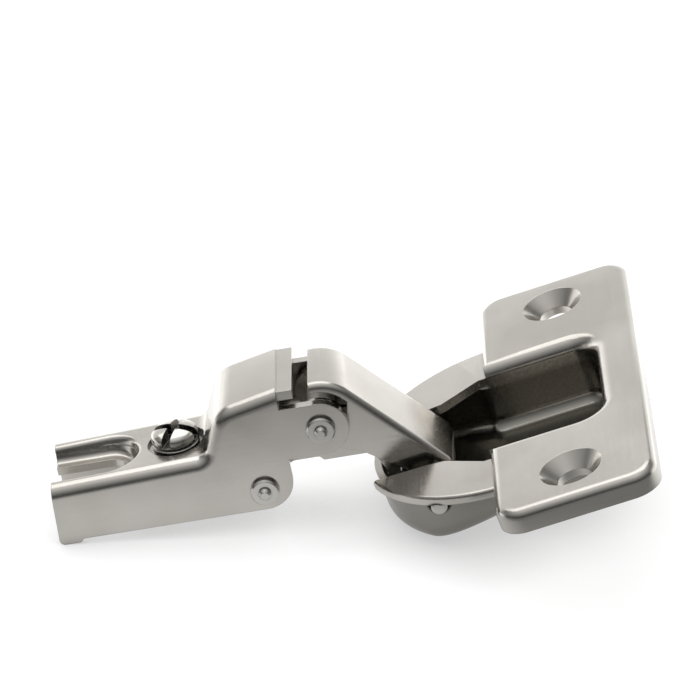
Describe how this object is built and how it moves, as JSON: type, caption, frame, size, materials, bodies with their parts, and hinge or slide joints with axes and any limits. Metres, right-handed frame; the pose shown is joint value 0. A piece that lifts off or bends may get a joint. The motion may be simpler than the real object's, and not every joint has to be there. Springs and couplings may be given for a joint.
{
  "type": "concealed cabinet hinge",
  "caption": "Concealed cabinet hinge: a folded slide-on arm with a cranked nose, two links on rivets and a pressed cup with a wing plate for screws.",
  "frame": {"origin": "on the arm's base plane, under the middle of the fixing slot's round end", "axes": "+X along the arm towards the cup, +Z out of the cabinet panel, +Y along the pivots, to the left seen from the cup"},
  "size_m": [0.0795, 0.0596, 0.0234],
  "materials": {
    "nickel_sheet": "pressed steel sheet with satin nickel plate",
    "nickel_rivet": "turned steel with nickel plate",
    "nickel_screw": "cold-headed steel with bright nickel plate",
    "spring_wire": "oiled spring wire",
    "acetal": "moulded acetal"
  },
  "bodies": {
    "arm": {"hinge_arm": "nickel_sheet", "upper_rivet": "nickel_rivet", "lower_rivet": "nickel_rivet", "spacer_left": "nickel_rivet", "spacer_right": "nickel_rivet", "spring_bush": "acetal", "upper_bush": "acetal", "closing_spring": "spring_wire"},
    "screw": {"adjusting_screw": "nickel_screw"},
    "outer_lever": {"outer_link": "nickel_sheet"},
    "inner_lever": {"inner_link": "nickel_sheet"},
    "cup": {"hinge_cup": "nickel_sheet", "outer_cup_pin_left": "nickel_rivet", "outer_cup_pin_right": "nickel_rivet", "inner_cup_pin": "nickel_rivet"}
  },
  "joints": [
    {"name": "link_turn", "type": "hinge", "parent": "arm", "child": "outer_lever", "pos_m": [0.0292, 0, 0.0105], "axis": [0, -1, 0], "range_deg": [-34, 0]},
    {"name": "inner_turn", "type": "hinge", "parent": "arm", "child": "inner_lever", "pos_m": [0.0204, 0, 0.0028], "axis": [0, -1, 0], "range_deg": [-33, 0]},
    {"name": "cup_turn", "type": "hinge", "parent": "outer_lever", "child": "cup", "pos_m": [0.04294, 0, 0.00063], "axis": [0, -1, 0], "range_deg": [0, 114.5]},
    {"name": "screw_turn", "type": "hinge", "parent": "arm", "child": "screw", "pos_m": [0.00945, 0, 0.006], "axis": [0, 0, 1], "range_deg": [-360, 360]}
  ],
  "couplings": [
    {"joint": "link_turn", "follows": "cup_turn", "ratio": -0.2969},
    {"joint": "inner_turn", "follows": "cup_turn", "ratio": -0.2882}
  ]
}
